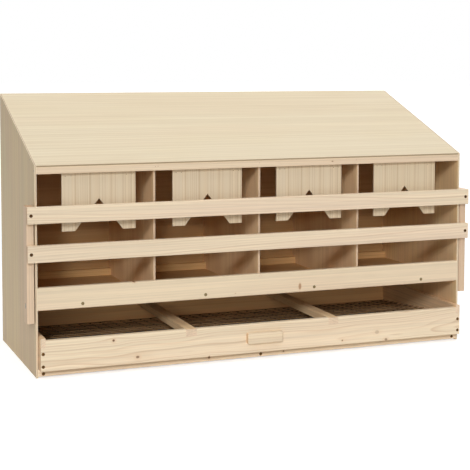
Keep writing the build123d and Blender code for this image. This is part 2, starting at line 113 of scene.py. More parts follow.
class Graph:
    """Writes the node tree of one material, round a Principled shader."""

    # Cosines between which a face comes to count as square to a direction.
    SQUARE: ClassVar[Span] = (0.4, 0.8)
    # Sockets of a Mix node for colours: the factor and the two colours, then the result.
    MIX_INPUTS: ClassVar[tuple[int, ...]] = (0, 6, 7)
    MIX_RESULT: ClassVar[int] = 2

    def __init__(self, name: str) -> None:
        """Starts an empty material.

        Args:
            name: the material's name.
        """
        self.material = bpy.data.materials.new(name)
        self.material.use_nodes = True
        self.tree = self.material.node_tree
        self.tree.nodes.clear()
        self.shader = self.tree.nodes.new("ShaderNodeBsdfPrincipled")
        output = self.tree.nodes.new("ShaderNodeOutputMaterial")
        self.tree.links.new(self.shader.outputs["BSDF"], output.inputs["Surface"])
        coordinates = self.tree.nodes.new("ShaderNodeTexCoord")
        self.place = coordinates.outputs["Object"]
        self.facing = coordinates.outputs["Normal"]

    def feed(self, socket: Socket, value: Value) -> None:
        """Links a socket into another, or sets its constant.

        Args:
            socket: the input to fill.
            value: another node's output, a number or a vector.
        """
        if isinstance(value, bpy.types.NodeSocket):
            self.tree.links.new(value, socket)
        else:
            socket.default_value = value

    def math(self, operation: str, a: Value, b: Value = 0.0, c: Value = 0.0) -> Socket:
        """One step of arithmetic on numbers.

        Args:
            operation: the step's name.
            a: the first number.
            b: the second number.
            c: the third number.

        Returns:
            The result.
        """
        node = self.tree.nodes.new("ShaderNodeMath")
        node.operation = operation
        for socket, value in zip(node.inputs, (a, b, c)):
            self.feed(socket, value)
        return node.outputs[0]

    def vector(self, operation: str, a: Value, b: Value = (0.0, 0.0, 0.0)) -> Socket:
        """One step of arithmetic on vectors.

        Args:
            operation: the step's name.
            a: the first vector.
            b: the second vector.

        Returns:
            The result, which is a number for a length or a dot product.
        """
        node = self.tree.nodes.new("ShaderNodeVectorMath")
        node.operation = operation
        self.feed(node.inputs[0], a)
        self.feed(node.inputs[1], b)
        return node.outputs["Value" if operation in ("LENGTH", "DOT_PRODUCT") else "Vector"]

    def noise(
        self, place: Value, stretch: Point, detail: float = 2.0, colour: bool = False
    ) -> Socket:
        """Smooth noise on stretched coordinates.

        Args:
            place: the coordinates, in metres.
            stretch: cycles per metre along each of them.
            detail: octaves of finer noise.
            colour: whether three channels are wanted in place of one.

        Returns:
            The noise, about 0.5 in the middle.
        """
        node = self.tree.nodes.new("ShaderNodeTexNoise")
        self.feed(node.inputs["Vector"], self.vector("MULTIPLY", place, stretch))
        self.feed(node.inputs["Scale"], 1.0)
        self.feed(node.inputs["Detail"], detail)
        return node.outputs["Color" if colour else "Fac"]

    def chance(self, value: Value) -> Socket:
        """A steady random number from 0 to 1 for each whole number below a value.

        Args:
            value: the number that is rounded down.

        Returns:
            The random number.
        """
        node = self.tree.nodes.new("ShaderNodeTexWhiteNoise")
        node.noise_dimensions = "1D"
        self.feed(node.inputs["W"], self.math("FLOOR", value))
        return node.outputs["Value"]

    def span(
        self, value: Value, low: float, high: float, out_low: float = 0.0, out_high: float = 1.0
    ) -> Socket:
        """A smooth step from one range to another, held at its ends.

        Args:
            value: the number to carry over.
            low: where the step starts.
            high: where the step ends.
            out_low: the result before the step.
            out_high: the result after the step.

        Returns:
            The number in the new range.
        """
        node = self.tree.nodes.new("ShaderNodeMapRange")
        node.interpolation_type = "SMOOTHSTEP"
        for socket, number in zip(node.inputs, (value, low, high, out_low, out_high)):
            self.feed(socket, number)
        return node.outputs[0]

    def curve(self, value: Value, stops: tuple[Span, ...]) -> Socket:
        """A number drawn as straight pieces between stops.

        Args:
            value: the number to look up, from 0 to 1.
            stops: the (position, height) pairs.

        Returns:
            The height at the value.
        """
        node = self.tree.nodes.new("ShaderNodeValToRGB")
        ramp = node.color_ramp
        # New stops start halfway, and each is then put in its place.
        while len(ramp.elements) < len(stops):
            ramp.elements.new(0.5)
        for element, (position, height) in zip(ramp.elements, stops):
            element.position = position
            element.color = (height, height, height, 1.0)
        self.feed(node.inputs[0], value)
        return node.outputs[0]

    def blend(
        self, factor: Value, a: Value | Colour, b: Value | Colour, way: str = "MIX"
    ) -> Socket:
        """Two colours mixed by a factor.

        Args:
            factor: the share of the second colour.
            a: the first colour.
            b: the second colour.
            way: how they mix.

        Returns:
            The mixed colour.
        """
        node = self.tree.nodes.new("ShaderNodeMix")
        node.data_type = "RGBA"
        node.blend_type = way
        for index, value in zip(self.MIX_INPUTS, (factor, a, b)):
            is_colour = isinstance(value, tuple)
            self.feed(node.inputs[index], (*value, 1.0) if is_colour else value)
        return node.outputs[self.MIX_RESULT]

    def shade(self, tone: Value, grey: Value) -> Socket:
        """A colour made lighter or darker by a number about 1."""
        return self.blend(1.0, tone, self.vector("MULTIPLY", WHITE, grey), "MULTIPLY")

    def bump(self, height: Value, strength: float, depth: float) -> None:
        """Raises the shader's normal by a height field.

        Args:
            height: the height field.
            strength: its share.
            depth: its height in metres.
        """
        node = self.tree.nodes.new("ShaderNodeBump")
        self.feed(node.inputs["Strength"], strength)
        self.feed(node.inputs["Distance"], depth)
        self.feed(node.inputs["Height"], height)
        self.feed(self.shader.inputs["Normal"], node.outputs["Normal"])

    def along(self, grain: Grain) -> Socket:
        """Object coordinates in the order (along the fibres, across, across).

        Args:
            grain: the way the fibres run.

        Returns:
            The coordinates.
        """
        split = self.tree.nodes.new("ShaderNodeSeparateXYZ")
        self.feed(split.inputs[0], self.place)
        join = self.tree.nodes.new("ShaderNodeCombineXYZ")
        for socket, axis in zip(join.inputs, grain.value):
            self.feed(socket, split.outputs[axis])
        return join.outputs[0]

    def turned_to(self, way: Point) -> Socket:
        """1 on faces square to a direction, at either end, and 0 on faces along it."""
        cosine = self.math("ABSOLUTE", self.vector("DOT_PRODUCT", self.facing, way))
        return self.span(cosine, *self.SQUARE)

    def surface(self, **values: Value | Colour) -> None:
        """Fills the shader's sockets.

        Args:
            values: the sockets by name, with an underscore for each space.
        """
        for name, value in values.items():
            socket = self.shader.inputs[name.replace("_", " ")]
            is_colour = socket.type == "RGBA" and isinstance(value, tuple)
            self.feed(socket, (*value, 1.0) if is_colour else value)


@dataclass(frozen=True)
class Knot:
    """A knot, fleck or streak in the front of a board that lies along X.

    Its field long stretches it along the board, and its halo is counted in radii.
    """

    x: float
    z: float
    radius: float
    dark: float = 1.0
    long: float = 1.0
    halo: float = 3.0


@dataclass(frozen=True)
class PineFinish:
    """Planed pine as a solid: growth rings about the heart of a log, cut open by its faces.

    The heart lies off the middle of the board, so faces show lines or, with a taper, arches, and
    ends show arcs.
    """

    name: str
    grain: Grain
    heart: Point
    ring: float = 0.0052
    taper: float = 0.0
    pale: Colour = (0.798, 0.66, 0.468)
    dark: Colour = (0.60, 0.41, 0.26)
    blush: Colour = (0.783, 0.604, 0.431)
    contrast: float = 0.6
    sway: float = 0.008
    wander: float = 1.6
    knots: tuple[Knot, ...] = ()
    eye: float = 3.0
    knot_brown: Colour = (0.16, 0.075, 0.03)
    halo_tone: Colour = (0.74, 0.50, 0.30)
    end_tint: Colour = (0.86, 0.72, 0.62)
    tint: Colour = WHITE

    # Noise in cycles per metre, along the fibres and across them.
    FIBRE: ClassVar[Point] = (14.0, 1300.0, 1300.0)
    HAIR: ClassVar[Point] = (2.0, 360.0, 360.0)
    STREAK: ClassVar[Point] = (1.2, 80.0, 80.0)
    MOOD: ClassVar[Point] = (1.3, 13.0, 13.0)
    SPREAD: ClassVar[Point] = (1.0, 45.0, 45.0)
    DRIFT: ClassVar[float] = 9.0
    # One year's ring: pale early wood that darkens to a late line.
    RING_CURVE: ClassVar[tuple[Span, ...]] = (
        (0.0, 0.0),
        (0.42, 0.05),
        (0.7, 0.42),
        (0.9, 1.0),
        (1.0, 0.0),
    )
    # Smooth steps: where they start and end, then the results there.
    YEAR_STEP: ClassVar[Step] = (0.0, 1.0, 0.25, 1.0)
    MOOD_STEP: ClassVar[Span] = (0.42, 0.72)
    STREAK_STEP: ClassVar[Step] = (0.3, 0.72, 1.04, 0.94)
    FUZZ_STEP: ClassVar[Step] = (0.5, 1.0, 1.05, 0.93)
    ROUGH_STEP: ClassVar[Step] = (0.0, 1.0, 0.66, 0.5)
    # Knots: the edge of the core and the reach of the eye are counted in radii.
    HALO_SHARE: ClassVar[float] = 0.45
    CORE_EDGE: ClassVar[Span] = (0.6, 1.15)
    EYE_PULL: ClassVar[float] = 0.85
    EYE_REACH: ClassVar[float] = 6.0
    # How many rings the spread of the years adds, and the share of the fibres in the fuzz.
    YEAR_SPREAD: ClassVar[float] = 2.2
    FIBRE_SHARE: ClassVar[float] = 0.5
    GLOSS: ClassVar[float] = 0.32
    # The height of late wood beside the fibres, then the bump's strength and depth in metres.
    LATE_HEIGHT: ClassVar[float] = 0.6
    BUMP: ClassVar[Span] = (0.22, 0.0003)

    def build(self) -> bpy.types.Material:
        """The finish as a material.

        Returns:
            A material on Object coordinates.
        """
        graph = Graph(self.name)
        local = graph.vector("SUBTRACT", graph.along(self.grain), self.grain.local(self.heart))
        years = self.years(graph, self.parted(graph, local))
        line = graph.curve(graph.math("FRACT", years), self.RING_CURVE)
        late = graph.math("MULTIPLY", line, graph.span(graph.chance(years), *self.YEAR_STEP))
        fibre = graph.noise(local, self.FIBRE, detail=1.0)
        hair = graph.noise(local, self.HAIR, detail=1.5)
        streak = graph.noise(local, self.STREAK, detail=2.0)
        mood = graph.noise(local, self.MOOD, detail=1.0)
        tone = graph.blend(graph.span(mood, *self.MOOD_STEP), self.pale, self.blush)
        tone = graph.blend(graph.math("MULTIPLY", late, self.contrast), tone, self.dark)
        tone = graph.shade(tone, graph.span(streak, *self.STREAK_STEP))
        fuzz = graph.math("MULTIPLY_ADD", fibre, self.FIBRE_SHARE, hair)
        tone = graph.shade(tone, graph.span(fuzz, *self.FUZZ_STEP))
        for knot in self.knots:
            spot = self.spot(graph, knot, knot.long)
            rim = knot.radius * knot.halo
            halo = graph.span(spot, knot.radius, rim, self.HALO_SHARE * knot.dark, 0.0)
            core_low, core_high = (knot.radius * share for share in self.CORE_EDGE)
            core = graph.span(spot, core_low, core_high, knot.dark, 0.0)
            tone = graph.blend(core, graph.blend(halo, tone, self.halo_tone), self.knot_brown)
        tone = graph.blend(graph.turned_to(self.grain.axis()), tone, self.end_tint, "MULTIPLY")
        graph.surface(
            Base_Color=graph.blend(1.0, tone, self.tint, "MULTIPLY"),
            Roughness=graph.span(late, *self.ROUGH_STEP),
            Specular_IOR_Level=self.GLOSS,
        )
        graph.bump(graph.math("MULTIPLY_ADD", late, self.LATE_HEIGHT, fibre), *self.BUMP)
        return graph.material

    def parted(self, graph: Graph, local: Socket) -> Socket:
        """Coordinates drawn up and down to the knots, so that rings part round each like an eye.

        Args:
            graph: the material that is written.
            local: coordinates from the heart, along the fibres first.

        Returns:
            The coordinates, moved near the knots.
        """
        for knot in self.knots:
            away = graph.vector("SUBTRACT", graph.place, (knot.x, 0.0, knot.z))
            spot = self.spot(graph, knot, knot.long * self.eye)
            reach = knot.radius * self.EYE_REACH
            pull = graph.span(spot, 0.0, reach, self.EYE_PULL * knot.dark, 0.0)
            aside = graph.vector("MULTIPLY", graph.vector("MULTIPLY", away, Z_WAY), pull)
            local = graph.vector("SUBTRACT", local, aside)
        return local

    def years(self, graph: Graph, local: Socket) -> Socket:
        """Growth rings from the heart: (distance - taper x length) / ring, swayed by noise.

        Args:
            graph: the material that is written.
            local: coordinates from the heart, along the fibres first.

        Returns:
            The number of rings, with its fraction.
        """
        drift = graph.noise(local, (self.wander, self.DRIFT, self.DRIFT), colour=True)
        centred = graph.vector("SUBTRACT", drift, (0.5,) * 3)
        bend = graph.vector("MULTIPLY", centred, (0.0, self.sway, self.sway))
        cross = graph.vector("MULTIPLY", graph.vector("ADD", local, bend), (0.0, 1.0, 1.0))
        length = graph.vector("DOT_PRODUCT", local, X_WAY)
        grown = graph.math("MULTIPLY_ADD", length, -self.taper, graph.vector("LENGTH", cross))
        spread = graph.noise(cross, self.SPREAD, detail=1.0)
        count = graph.math("DIVIDE", grown, self.ring)
        return graph.math("MULTIPLY_ADD", spread, self.YEAR_SPREAD, count)

    def spot(self, graph: Graph, knot: Knot, long: float) -> Socket:
        """Distance from a knot's axis, which runs straight back.

        Args:
            graph: the material that is written.
            knot: the knot.
            long: how far the distance is stretched along the board.

        Returns:
            The distance in metres.
        """
        away = graph.vector("SUBTRACT", graph.place, (knot.x, 0.0, knot.z))
        return graph.vector("LENGTH", graph.vector("MULTIPLY", away, (1.0 / long, 0.0, 1.0)))


@dataclass(frozen=True)
class PlyFinish:
    """Three-ply board: veneer with soft contour lines, painted warm shade on faces turned into the
    box and plies at its edges.
    """

    name: str
    grain: Grain
    middle: Point
    normal: Point
    thickness: float = 0.004
    pale: Colour = (0.80, 0.69, 0.495)
    dark: Colour = (0.62, 0.475, 0.31)
    blush: Colour = (0.755, 0.61, 0.44)
    cast: Colour = (0.80, 0.69, 0.495)
    core: Colour = (0.55, 0.40, 0.25)
    edge: Colour = (0.82, 0.70, 0.52)
    core_share: float = 0.2
    # Painted shade: a warmer, darker colour multiplied over the faces turned into the box, and
    # which faces take it.
    painted_shade_colour: Colour = (0.90, 0.69, 0.46)
    painted_shade_faces: Side = Side.NONE
    lines: float = 9.0
    contrast: float = 0.4
    stripes: float = 0.25
    fine: float = 0.4
    threads: float = 250.0
    thread_span: Span = (0.3, 0.7)
    clouds: Point = (3.2, 7.0, 7.0)
    blotches: Point = (2.2, 11.0, 11.0)

    # Noise in cycles per metre, along the fibres and across them.
    LAND: ClassVar[Point] = (0.9, 5.5, 5.5)
    STRIPE: ClassVar[Point] = (0.45, 70.0, 70.0)
    FIBRE: ClassVar[Point] = (10.0, 1200.0, 1200.0)
    THREAD_ALONG: ClassVar[float] = 0.9
    # Smooth steps: where they start and end, then the results there.
    LINE_STEP: ClassVar[Step] = (0.0, 0.3, 1.0, 0.0)
    MARK_STEP: ClassVar[Step] = (0.35, 0.6, 0.4, 1.0)
    CLOUD_STEP: ClassVar[Span] = (0.45, 0.62)
    BLOTCH_STEP: ClassVar[Span] = (0.42, 0.7)
    STRIPE_STEP: ClassVar[Span] = (0.46, 0.72)
    FIBRE_STEP: ClassVar[Step] = (0.3, 0.7, 0.97, 1.03)
    PLY_STEP: ClassVar[Step] = (0.3, 0.7, 1.06, 0.92)
    ROUGH_STEP: ClassVar[Step] = (0.3, 0.7, 0.56, 0.68)
    # The edge of the core ply, counted in halves of its thickness.
    CORE_EDGE: ClassVar[Span] = (0.8, 1.2)
    GLOSS: ClassVar[float] = 0.3
    # The height of the lines beside the fibres, then the bump's strength and depth in metres.
    LINE_HEIGHT: ClassVar[float] = 0.5
    BUMP: ClassVar[Span] = (0.16, 0.00025)

    def build(self) -> bpy.types.Material:
        """The finish as a material.

        Returns:
            A material on Object coordinates.
        """
        graph = Graph(self.name)
        local = graph.vector("SUBTRACT", graph.along(self.grain), self.grain.local(self.middle))
        land = graph.noise(local, self.LAND, detail=2.0)
        contour = graph.math("PINGPONG", graph.math("MULTIPLY", land, self.lines), 0.5)
        line = graph.span(contour, *self.LINE_STEP)
        stripe = graph.noise(local, self.STRIPE, detail=2.5)
        thread = graph.noise(local, (self.THREAD_ALONG, self.threads, self.threads), detail=1.5)
        fibre = graph.noise(local, self.FIBRE, detail=1.0)
        blotch = graph.noise(local, self.blotches, detail=2.0)
        cloud = graph.noise(local, self.clouds, detail=1.0)
        tone = graph.blend(graph.span(cloud, *self.CLOUD_STEP), self.pale, self.cast)
        tone = graph.blend(graph.span(blotch, *self.BLOTCH_STEP), tone, self.blush)
        mark = graph.math("MULTIPLY", line, graph.span(blotch, *self.MARK_STEP))
        tone = graph.blend(graph.math("MULTIPLY", mark, self.contrast), tone, self.dark)
        striped = graph.span(stripe, *self.STRIPE_STEP, 0.0, self.stripes)
        tone = graph.blend(striped, tone, self.dark)
        threaded = graph.span(thread, *self.thread_span, 0.0, self.fine)
        tone = graph.blend(threaded, tone, self.dark)
        tone = graph.shade(tone, graph.span(fibre, *self.FIBRE_STEP))
        from_middle = graph.vector("SUBTRACT", graph.place, self.middle)
        depth = graph.vector("DOT_PRODUCT", from_middle, self.normal)
        # Painted shade: the faces turned into the box are multiplied by the painted shade colour.
        if self.painted_shade_faces is Side.BOTH:
            tone = graph.blend(1.0, tone, self.painted_shade_colour, "MULTIPLY")
        elif self.painted_shade_faces is not Side.NONE:
            inwards = graph.math("MULTIPLY", depth, self.painted_shade_faces.value)
            painted_shade_mask = graph.span(inwards, 0.0, self.thickness / 4)
            tone = graph.blend(painted_shade_mask, tone, self.painted_shade_colour, "MULTIPLY")
        half_core = self.thickness * self.core_share
        core_low, core_high = (half_core * share for share in self.CORE_EDGE)
        in_core = graph.span(graph.math("ABSOLUTE", depth), core_low, core_high, 1.0, 0.0)
        plies = graph.blend(in_core, self.edge, self.core)
        plies = graph.shade(plies, graph.span(stripe, *self.PLY_STEP))
        graph.surface(
            Base_Color=graph.blend(graph.turned_to(self.normal), plies, tone),
            Roughness=graph.span(fibre, *self.ROUGH_STEP),
            Specular_IOR_Level=self.GLOSS,
        )
        graph.bump(graph.math("MULTIPLY_ADD", mark, self.LINE_HEIGHT, fibre), *self.BUMP)
        return graph.material


@dataclass(frozen=True)
class MetalFinish:
    """Plated steel with a cloudy sheen."""

    name: str
    bright: Colour
    dull: Colour
    metal: float
    rough: Span
    cloud: Point = (160.0, 160.0, 160.0)
    gloss: float = 0.5

    # Noise in cycles per metre, smooth steps, then the bump's strength and depth in metres.
    GRIT: ClassVar[Point] = (2600.0, 2600.0, 2600.0)
    TONE_STEP: ClassVar[Span] = (0.35, 0.65)
    ROUGH_STEP: ClassVar[Span] = (0.3, 0.7)
    BUMP: ClassVar[Span] = (0.12, 0.0001)

    def build(self) -> bpy.types.Material:
        """The finish as a material.

        Returns:
            A material on Object coordinates.
        """
        graph = Graph(self.name)
        cloud = graph.noise(graph.place, self.cloud, detail=3.0)
        grit = graph.noise(graph.place, self.GRIT, detail=1.0)
        graph.surface(
            Base_Color=graph.blend(graph.span(cloud, *self.TONE_STEP), self.bright, self.dull),
            Metallic=self.metal,
            Specular_IOR_Level=self.gloss,
            Roughness=graph.span(cloud, *self.ROUGH_STEP, *self.rough),
        )
        graph.bump(grit, *self.BUMP)
        return graph.material


def middle_of(node: str) -> Point:
    """The middle of a CAD node's box, in metres."""
    low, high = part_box(node)
    return tuple((low + high) / 2)


def paint(node: str, material: bpy.types.Material, nodes: Nodes) -> None:
    """Puts one material on a CAD node.

    Args:
        node: the node's name.
        material: the finish that it gets.
        nodes: the frame's objects by name.
    """
    slots = nodes[node].material_slots
    if not slots:
        nodes[node].data.materials.append(material)
    for slot in slots:
        slot.material = material
    LOG.info("%s wears %s", node, material.name)


def new_piece(
    name: str, points: np.ndarray, faces: list[list[int]], smooth: bool
) -> bpy.types.Object:
    """A mesh object at the origin, with its place in its points.

    Args:
        name: the piece's name.
        points: its vertices, one row each, in metres.
        faces: vertex numbers of each face.
        smooth: whether its faces are shaded smooth.

    Returns:
        The object, linked to the scene.
    """
    mesh = bpy.data.meshes.new(name)
    mesh.from_pydata(points, [], faces)
    mesh.polygons.foreach_set("use_smooth", np.full(len(mesh.polygons), smooth))
    mesh.update()
    piece = bpy.data.objects.new(name, mesh)
    bpy.context.scene.collection.objects.link(piece)
    LOG.info("%s has %d faces", name, len(faces))
    return piece


@dataclass
class Timber:
    """One board of the box: its node, the way its fibres run and where the heart of its log lay."""

    node: str
    grain: Grain
    heart: Point
    look: Look = field(default_factory=dict)

    def dress(self, nodes: Nodes) -> None:
        """Gives the board its own pine; the heart is counted from the board's middle.

        Args:
            nodes: the frame's objects by name.
        """
        heart = tuple(a + b for a, b in zip(middle_of(self.node), self.heart))
        finish = PineFinish(f"pine_{self.node}", self.grain, heart, **self.look)
        paint(self.node, finish.build(), nodes)


@dataclass
class Panel:
    """One plywood panel: its node, the way its veneer runs and the direction square to it."""

    node: str
    grain: Grain
    normal: Point
    look: Look = field(default_factory=dict)

    def dress(self, nodes: Nodes) -> None:
        """Gives the panel its own veneer, with the plies counted from its middle.

        Args:
            nodes: the frame's objects by name.
        """
        middle = middle_of(self.node)
        finish = PlyFinish(f"ply_{self.node}", self.grain, middle, self.normal, **self.look)
        paint(self.node, finish.build(), nodes)


@dataclass
class Carcass:
    """The fixed box: panels, roof, battens, nest floor, dividers, base rails and runners."""

    roof_rise: float = 0.140
    roof_run: float = 0.380
    front_board_marks: tuple[Knot, ...] = (
        Knot(0.096, 0.1565, 0.008, 0.75, 0.45, 1.6),
        Knot(-0.0614, 0.151, 0.0012, 0.45, 1.2),
        Knot(-0.2955, 0.1922, 0.0018, 1.0, 1.8),
        Knot(-0.004, 0.1865, 0.0008, 0.4),
        Knot(0.0015, 0.1862, 0.0008, 0.35),
        Knot(0.2405, 0.1868, 0.0009, 0.4),
    )
    lintel_marks: tuple[Knot, ...] = (
        Knot(0.1756, 0.440, 0.0011, 0.75, 2.6),
        Knot(-0.2475, 0.4405, 0.0009, 0.5),
        Knot(-0.2415, 0.441, 0.0009, 0.5),
        Knot(-0.0045, 0.4415, 0.0009, 0.45),
        Knot(0.2365, 0.4415, 0.0009, 0.4),
    )
    base_rail_marks: tuple[Knot, ...] = (
        Knot(-0.124, 0.0112, 0.003, 0.9, 1.1),
        Knot(0.056, 0.0103, 0.002, 0.8, 1.2),
    )
    lintel_tone: Colour = (0.79, 0.637, 0.45)
    # The front base rail is lightened to offset the shade under the proud drawer front: painted
    # light.
    rail_tone_painted_light: Colour = (0.92, 0.735, 0.515)
    # Painted shade: warmer, darker tints and colours for the boards and faces turned into the box.
    indoor_painted_shade: Colour = (0.93, 0.74, 0.48)
    wall_painted_shade: Colour = (1.19, 1.0, 0.82)
    right_wall_painted_shade: Colour = (1.18, 1.06, 0.92)
    nest_back_painted_shade: Colour = (0.80, 0.59, 0.395)
    nest_bed_painted_shade: Colour = (0.85, 0.62, 0.40)

    def panels(self) -> list[Panel]:
        """The plywood of the carcass.

        Returns:
            The panels, each with its own look.
        """
        pitch = math.atan2(self.roof_rise, self.roof_run)
        lean = (0.0, -math.sin(pitch), math.cos(pitch))
        sides = {
            "pale": (0.762, 0.607, 0.369),
            "cast": (0.705, 0.592, 0.37),
            "blush": (0.725, 0.545, 0.36),
            "lines": 13.0,
            "contrast": 0.26,
            "stripes": 0.2,
            "fine": 0.62,
        }
        roof = {
            "pale": (0.83, 0.722, 0.53),
            "cast": (0.825, 0.712, 0.51),
            "blush": (0.815, 0.69, 0.497),
            "lines": 7.0,
            "contrast": 0.1,
            "stripes": 0.16,
            "fine": 0.42,
            "dark": (0.665, 0.535, 0.35),
            # Darker ply edges and core: the ply's own dark core, darkened further as painted shade
            # for the dark line along the roof's front edge.
            "edge": (0.60, 0.48, 0.32),
            "core": (0.40, 0.30, 0.19),
            "core_share": 0.3,
            # The roof's underside takes the default painted shade colour.
            "painted_shade_faces": Side.BACK,
        }
        back = roof | {
            "lines": 9.0,
            "contrast": 0.55,
            "stripes": 0.4,
            "fine": 0.6,
            "painted_shade_colour": self.nest_back_painted_shade,
        }
        indoor_painted_shade = {
            "lines": 10.0,
            "contrast": 0.4,
            "painted_shade_faces": Side.BOTH,
            "edge": (0.88, 0.67, 0.49),
        }
        # The inner faces of the sides, the nest floor and the dividers take the painted shade.
        left = sides | {"painted_shade_colour": self.wall_painted_shade, "painted_shade_faces": Side.FRONT}
        right = sides | {"painted_shade_colour": self.right_wall_painted_shade, "painted_shade_faces": Side.BACK}
        bed = indoor_painted_shade | {"painted_shade_colour": self.nest_bed_painted_shade}
        divider = indoor_painted_shade | {"painted_shade_colour": self.wall_painted_shade}
        return [
            Panel("side_panel_left", Grain.ALONG_Z, X_WAY, left),
            Panel("side_panel_right", Grain.ALONG_Z, X_WAY, right),
            Panel("roof_panel", Grain.ALONG_X, lean, roof),
            Panel("back_panel", Grain.ALONG_X, Y_WAY, back),
            Panel("nest_floor", Grain.ALONG_X, Z_WAY, bed),
            Panel("divider_left", Grain.ALONG_Z, X_WAY, divider),
            Panel("divider_middle", Grain.ALONG_Z, X_WAY, divider),
            Panel("divider_right", Grain.ALONG_Z, X_WAY, divider),
        ]

    def boards(self) -> list[Timber]:
        """The solid pine of the carcass.

        Returns:
            The boards, each with its own look.
        """
        # The inner boards are tinted darker and warmer: painted shade.
        painted_shade_tint = {"tint": self.indoor_painted_shade}
        # The front base rail's lighter tone is painted light.
        base = {"pale": self.rail_tone_painted_light, "knots": self.base_rail_marks}
        lintel = {"pale": self.lintel_tone, "knots": self.lintel_marks, "contrast": 0.35}
        front = {
            "knots": self.front_board_marks,
            "contrast": 0.06,
            "knot_brown": (0.34, 0.165, 0.075),
        }
        return [
            Timber("lintel", Grain.ALONG_X, (0.0, 0.05, -0.05), lintel),
            Timber("rear_top_batten", Grain.ALONG_X, (0.0, -0.03, 0.02), painted_shade_tint),
            Timber("nest_front_board", Grain.ALONG_X, (0.0, 0.06, -0.07), front),
            Timber("floor_batten_front", Grain.ALONG_X, (0.0, 0.04, 0.01), painted_shade_tint),
            Timber("floor_batten_rear", Grain.ALONG_X, (0.0, 0.02, -0.04), painted_shade_tint),
            Timber("base_rail_front", Grain.ALONG_X, (0.0, 0.03, 0.045), base),
            Timber("base_rail_rear", Grain.ALONG_X, (0.0, -0.05, 0.02), painted_shade_tint),
            Timber("roof_cleat_left", Grain.ALONG_Y, (0.03, 0.0, 0.03), painted_shade_tint),
            Timber("roof_cleat_right", Grain.ALONG_Y, (-0.03, 0.0, 0.03), painted_shade_tint),
            Timber("runner_left", Grain.ALONG_Y, (0.03, 0.0, 0.03), painted_shade_tint),
            Timber("runner_middle", Grain.ALONG_Y, (-0.02, 0.0, 0.03), painted_shade_tint),
            Timber("runner_right", Grain.ALONG_Y, (-0.035, 0.0, 0.03), painted_shade_tint),
        ]

    def dress(self, nodes: Nodes) -> None:
        """Finishes every panel and board of the carcass."""
        for piece in (*self.panels(), *self.boards()):
            piece.dress(nodes)


@dataclass
class FlapRow:
    """The four hung flaps, each cut from its own piece of plywood."""

    tones: tuple[Colour, ...] = (
        (0.714, 0.6, 0.434),
        (0.7, 0.585, 0.423),
        (0.718, 0.6, 0.434),
        (0.71, 0.592, 0.419),
    )
    blush: Colour = (0.728, 0.598, 0.422)
    thread_tone: Colour = (0.585, 0.445, 0.285)

    def dress(self, nodes: Nodes) -> None:
        """Finishes the flaps, with the veneer running down.

        Args:
            nodes: the frame's objects by name.
        """
        veneer = {
            "blush": self.blush,
            "stripes": 0.28,
            "lines": 7.0,
            "contrast": 0.12,
            "fine": 0.82,
            "dark": self.thread_tone,
            "threads": 260.0,
            "thread_span": (0.47, 0.68),
            "clouds": (0.6, 45.0, 45.0),
            "blotches": (0.6, 60.0, 60.0),
            # The flaps' faces turned into the nests take the painted shade.
            "painted_shade_faces": Side.FRONT,
        }
        for number, tone in zip(FLAPS, self.tones):
            look = veneer | {"pale": tone, "cast": tone}
            Panel(f"flap_{number}_panel", Grain.ALONG_Z, Y_WAY, look).dress(nodes)


@dataclass
class PerchFrame:
    """The folding perch: two rails across two arms."""

    peach: Colour = (0.755, 0.572, 0.40)
    straw: Colour = (0.835, 0.695, 0.505)
    rose: Colour = (0.80, 0.625, 0.47)
    right_tint: Colour = (0.92, 0.89, 0.88)

    def dress(self, nodes: Nodes) -> None:
        """Finishes the rails and the pinker arms.

        Args:
            nodes: the frame's objects by name.
        """
        left = {"pale": self.peach, "contrast": 0.55}
        right = left | {"tint": self.right_tint}
        rail = {
            "pale": self.straw,
            "blush": self.rose,
            "contrast": 0.68,
            "ring": 0.0046,
            "taper": 0.02,
            "sway": 0.012,
            "wander": 2.8,
        }
        pieces = [
            Timber("perch_rail_upper", Grain.ALONG_X, (0.0, 0.09, 0.075), rail),
            Timber("perch_rail_lower", Grain.ALONG_X, (0.0, 0.07, -0.09), rail),
            Timber("perch_arm_left", Grain.ALONG_Z, (0.04, 0.03, 0.0), left),
            Timber("perch_arm_right", Grain.ALONG_Z, (-0.045, 0.035, 0.0), right),
        ]
        for piece in pieces:
            piece.dress(nodes)


